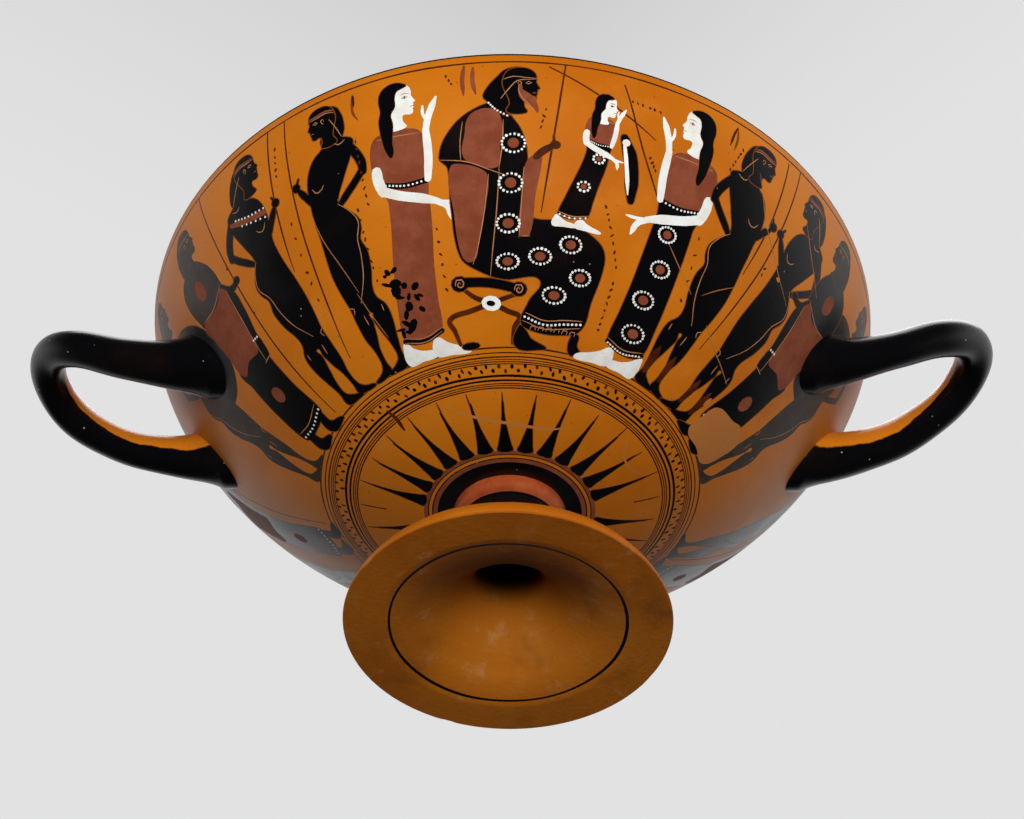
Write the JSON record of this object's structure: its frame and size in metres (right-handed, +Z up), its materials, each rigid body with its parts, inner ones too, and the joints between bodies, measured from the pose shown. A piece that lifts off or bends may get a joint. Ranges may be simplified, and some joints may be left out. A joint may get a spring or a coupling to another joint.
{
  "type": "greek kylix cup",
  "caption": "Wide, shallow drinking cup of painted fired clay on a stemmed foot, with a horseshoe handle at each side.",
  "frame": {"origin": "on the ground under the centre of the foot, at the bottom centre of the bounding box", "axes": "+Z up the stem, +X and -X out through the two handles, -Y out of the main painted side"},
  "size_m": [0.4017, 0.3, 0.1544],
  "materials": {
    "fired_clay": "burnished orange fired clay with black gloss slip, purple-red and white paint"
  },
  "bodies": {
    "root": {"kylix": "fired_clay"}
  },
  "joints": []
}
